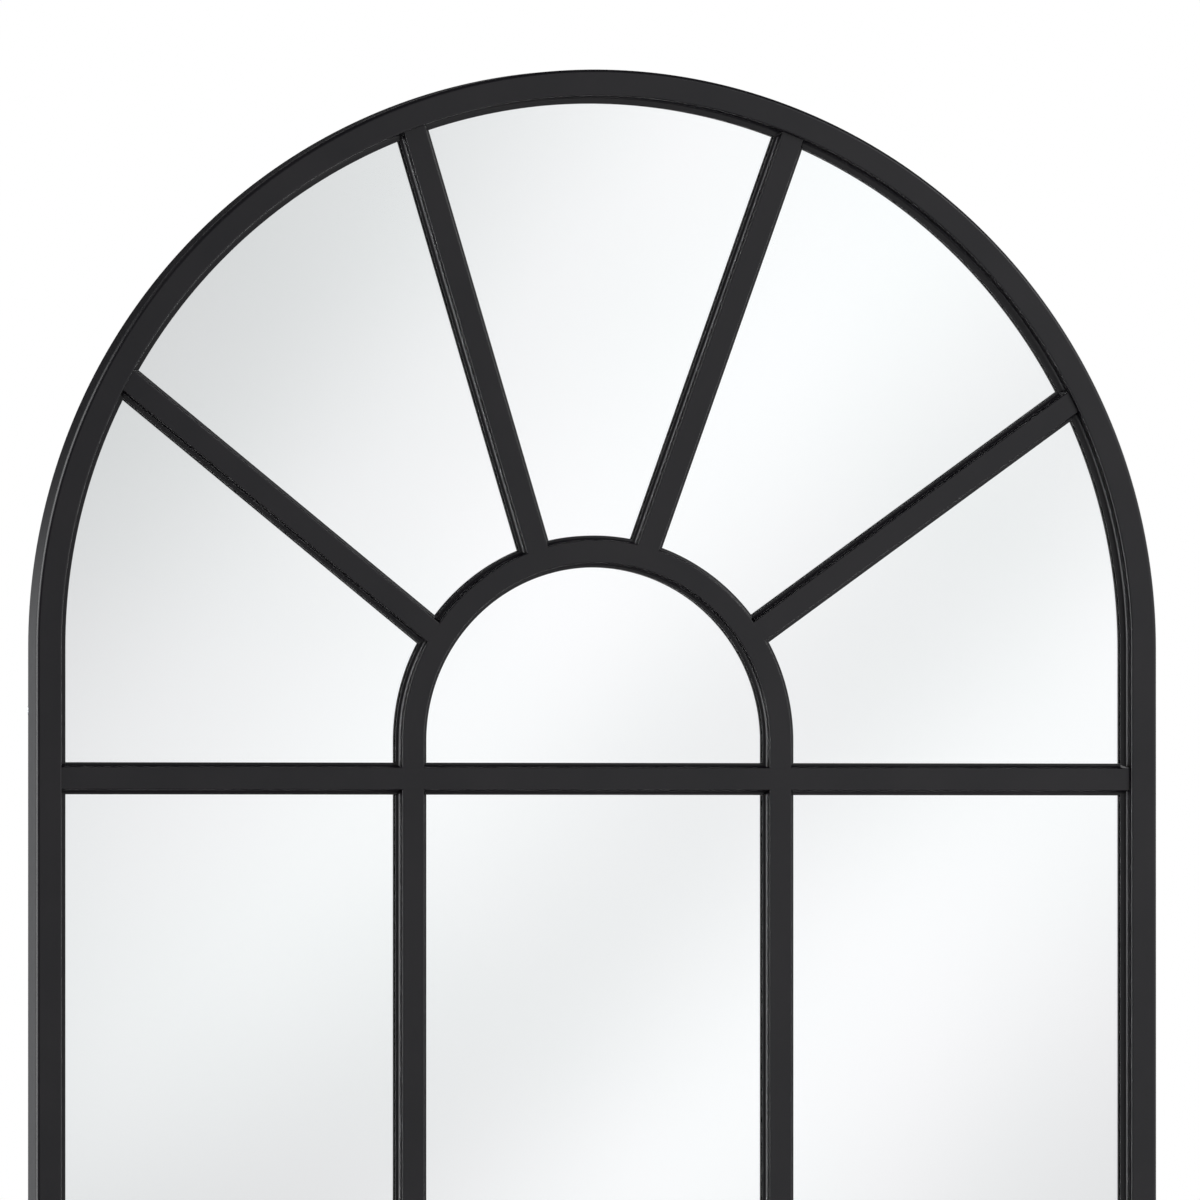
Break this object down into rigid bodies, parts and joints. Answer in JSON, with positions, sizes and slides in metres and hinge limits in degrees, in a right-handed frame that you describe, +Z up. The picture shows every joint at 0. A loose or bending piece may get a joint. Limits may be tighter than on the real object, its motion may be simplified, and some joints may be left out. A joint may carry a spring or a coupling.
{
  "type": "arched window mirror",
  "caption": "Tall arched mirror in a black steel window frame, with a small arch and ray bars over panes set by raised glazing bars, and ring hangers behind.",
  "frame": {"origin": "bottom centre of the bounding box, on the floor line under the foot pads", "axes": "+Z up, +X to the right of a viewer in front, and -Y the way the mirror faces"},
  "size_m": [0.9, 0.0362, 1.8],
  "materials": {
    "black_paint": "satin black powder coat with a very fine grain",
    "silvered_glass": "polished silvered glass",
    "board": "black-faced fibreboard",
    "zinc_steel": "bright zinc plate",
    "rubber": "matt black rubber"
  },
  "bodies": {
    "mirror": {"arch_tube": "black_paint", "backing_board": "board", "bottom_rail": "black_paint", "bumper_lower_left": "rubber", "bumper_lower_right": "rubber", "bumper_upper_left": "rubber", "bumper_upper_right": "rubber", "clip_arch_1": "zinc_steel", "clip_arch_2": "zinc_steel", "clip_arch_3": "zinc_steel", "clip_arch_4": "zinc_steel", "clip_left_1": "zinc_steel", "clip_left_2": "zinc_steel", "clip_left_3": "zinc_steel", "clip_rail_1": "zinc_steel", "clip_rail_2": "zinc_steel", "clip_right_1": "zinc_steel", "clip_right_2": "zinc_steel", "clip_right_3": "zinc_steel", "clip_screw_arch_1": "zinc_steel", "clip_screw_arch_2": "zinc_steel", "clip_screw_arch_3": "zinc_steel", "clip_screw_arch_4": "zinc_steel", "clip_screw_left_1": "zinc_steel", "clip_screw_left_2": "zinc_steel", "clip_screw_left_3": "zinc_steel", "clip_screw_rail_1": "zinc_steel", "clip_screw_rail_2": "zinc_steel", "clip_screw_right_1": "zinc_steel", "clip_screw_right_2": "zinc_steel", "clip_screw_right_3": "zinc_steel", "crossbar_1": "black_paint", "crossbar_2": "black_paint", "foot_pad_left": "rubber", "foot_pad_right": "rubber", "hanger_screw_left_1": "zinc_steel", "hanger_screw_left_2": "zinc_steel", "hanger_screw_right_1": "zinc_steel", "hanger_screw_right_2": "zinc_steel", "hanger_strap_left": "zinc_steel", "hanger_strap_right": "zinc_steel", "left_stile": "black_paint", "mirror_glass": "silvered_glass", "muntin_left_1": "black_paint", "muntin_left_2": "black_paint", "muntin_left_3": "black_paint", "muntin_right_1": "black_paint", "muntin_right_2": "black_paint", "muntin_right_3": "black_paint", "ray_inner_left": "black_paint", "ray_inner_right": "black_paint", "ray_outer_left": "black_paint", "ray_outer_right": "black_paint", "right_stile": "black_paint", "small_arch": "black_paint", "transom_bar": "black_paint"},
    "left_ring": {"hanger_ring_left": "zinc_steel"},
    "right_ring": {"hanger_ring_right": "zinc_steel"}
  },
  "joints": [
    {"name": "left_ring_hinge", "type": "hinge", "parent": "mirror", "child": "left_ring", "pos_m": [-0.43975, 0.0147, 1.305], "axis": [1, 0, 0], "range_deg": [0, 180]},
    {"name": "right_ring_hinge", "type": "hinge", "parent": "mirror", "child": "right_ring", "pos_m": [0.43975, 0.0147, 1.305], "axis": [1, 0, 0], "range_deg": [0, 180]}
  ]
}
